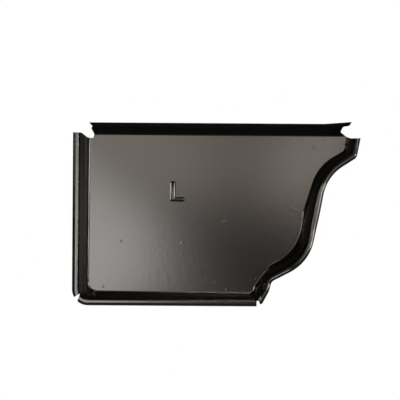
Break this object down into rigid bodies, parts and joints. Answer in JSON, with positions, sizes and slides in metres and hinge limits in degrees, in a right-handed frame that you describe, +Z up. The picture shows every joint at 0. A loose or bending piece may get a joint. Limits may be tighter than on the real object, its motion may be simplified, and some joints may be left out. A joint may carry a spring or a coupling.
{
  "type": "gutter end cap",
  "caption": "Left-hand end cap for an ogee gutter: pressed sheet with a drawn rim channel that takes the gutter's cut end, a recessed flat panel and a bent top flange.",
  "frame": {"origin": "the gutter's back bottom corner on its cut end: where the planes of the gutter's back, bottom and end meet in the rim channel", "axes": "+X from the house wall to the street, +Y into the gutter along its run, +Z up"},
  "size_m": [0.1291, 0.0106, 0.083],
  "materials": {
    "painted_sheet": "satin"
  },
  "bodies": {
    "root": {"end_cap": "painted_sheet"}
  },
  "joints": []
}
